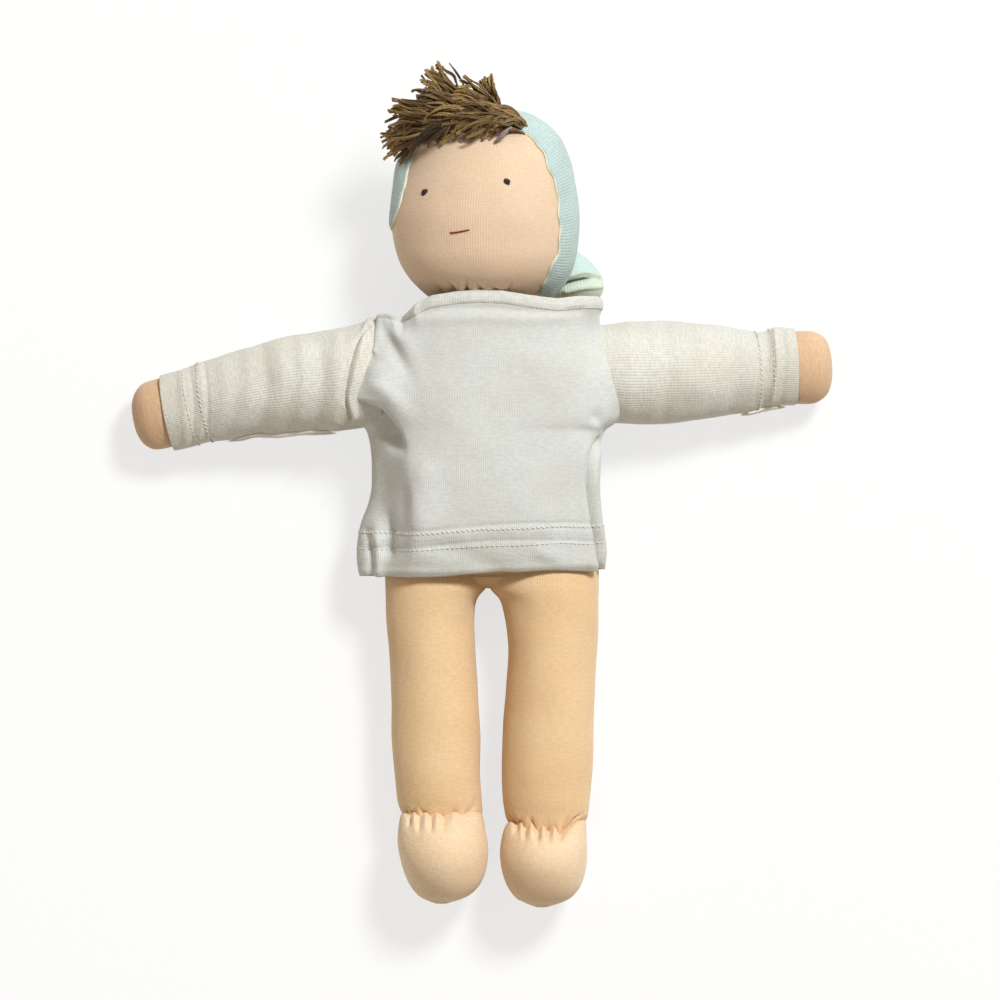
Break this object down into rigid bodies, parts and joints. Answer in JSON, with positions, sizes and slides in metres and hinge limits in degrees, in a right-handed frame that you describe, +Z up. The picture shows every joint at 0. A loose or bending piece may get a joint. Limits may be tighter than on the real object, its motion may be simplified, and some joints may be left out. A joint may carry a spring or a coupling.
{
  "type": "waldorf doll",
  "caption": "Soft cloth doll lying on its back: wool-stuffed jersey head, trunk and limbs, in a knitted long-sleeved shirt and a close cap with a yarn fringe.",
  "frame": {"origin": "on the surface that the doll lies on, under the middle of its back", "axes": "+Z up, out of the doll's chest; +Y from the feet to the head; +X to the doll's own left hand"},
  "size_m": [0.2526, 0.3028, 0.0638],
  "materials": {
    "skin_face": "matt fine cotton jersey, pale peach",
    "skin_arm": "matt fine cotton jersey, deeper peach",
    "skin_leg": "matt fine cotton jersey, peach",
    "skin_foot": "matt fine cotton jersey, light peach",
    "wool": "carded natural wool",
    "shirt_knit": "matt off-white cotton jersey",
    "shirt_rib": "matt off-white doubled jersey strip",
    "cap_knit": "matt pale mint jersey",
    "cap_trim": "pale green rolled edge",
    "hair_yarn": "brown wool yarn, cut ends",
    "eye_thread": "dark brown embroidery thread",
    "mouth_thread": "dark red embroidery thread",
    "sewing_thread": "pale cotton thread"
  },
  "bodies": {
    "trunk": {"trunk_skin": "skin_leg", "trunk_stuffing": "wool", "shirt_front": "shirt_knit", "shirt_back": "shirt_knit", "shirt_neck_band": "shirt_rib"},
    "neck": {"neck_stuffing": "wool", "neck_tie": "sewing_thread"},
    "head": {"head_skin": "skin_face", "head_stuffing": "wool", "right_eye": "eye_thread", "left_eye": "eye_thread", "mouth": "mouth_thread", "hair_fringe": "hair_yarn", "cap_crown": "cap_knit", "cap_edge": "cap_trim", "cap_tail": "cap_knit"},
    "right_arm": {"right_arm_skin": "skin_arm", "right_arm_stuffing": "wool", "right_sleeve": "shirt_knit"},
    "left_arm": {"left_arm_skin": "skin_arm", "left_arm_stuffing": "wool", "left_sleeve": "shirt_knit"},
    "right_leg": {"right_leg_skin": "skin_leg", "right_leg_stuffing": "wool", "right_ankle_thread": "sewing_thread"},
    "left_leg": {"left_leg_skin": "skin_leg", "left_leg_stuffing": "wool", "left_ankle_thread": "sewing_thread"},
    "right_foot": {"right_foot_skin": "skin_foot", "right_foot_stuffing": "wool"},
    "left_foot": {"left_foot_skin": "skin_foot", "left_foot_stuffing": "wool"}
  },
  "joints": [
    {"name": "head_turn", "type": "hinge", "parent": "trunk", "child": "neck", "pos_m": [0, 0.058, 0.031], "axis": [0, 1, 0], "range_deg": [-25, 50]},
    {"name": "head_nod", "type": "hinge", "parent": "neck", "child": "head", "pos_m": [0, 0.058, 0.031], "axis": [1, 0, 0], "range_deg": [-8, 10]},
    {"name": "right_shoulder", "type": "hinge", "parent": "trunk", "child": "right_arm", "pos_m": [-0.0536, 0.0263, 0.0205], "axis": [0, 0, -1], "range_deg": [-25, 45]},
    {"name": "left_shoulder", "type": "hinge", "parent": "trunk", "child": "left_arm", "pos_m": [0.0497, 0.0284, 0.0205], "axis": [0, 0, 1], "range_deg": [-25, 45]},
    {"name": "right_hip", "type": "hinge", "parent": "trunk", "child": "right_leg", "pos_m": [-0.0205, -0.05, 0.0189], "axis": [-1, 0, 0], "range_deg": [0, 55]},
    {"name": "left_hip", "type": "hinge", "parent": "trunk", "child": "left_leg", "pos_m": [0.0218, -0.05, 0.0189], "axis": [-1, 0, 0], "range_deg": [0, 55]},
    {"name": "right_ankle", "type": "hinge", "parent": "right_leg", "child": "right_foot", "pos_m": [-0.01713, -0.13393, 0.016], "axis": [-1, 0, 0], "range_deg": [-12, 12]},
    {"name": "left_ankle", "type": "hinge", "parent": "left_leg", "child": "left_foot", "pos_m": [0.0218, -0.134, 0.016], "axis": [-1, 0, 0], "range_deg": [-12, 12]}
  ]
}
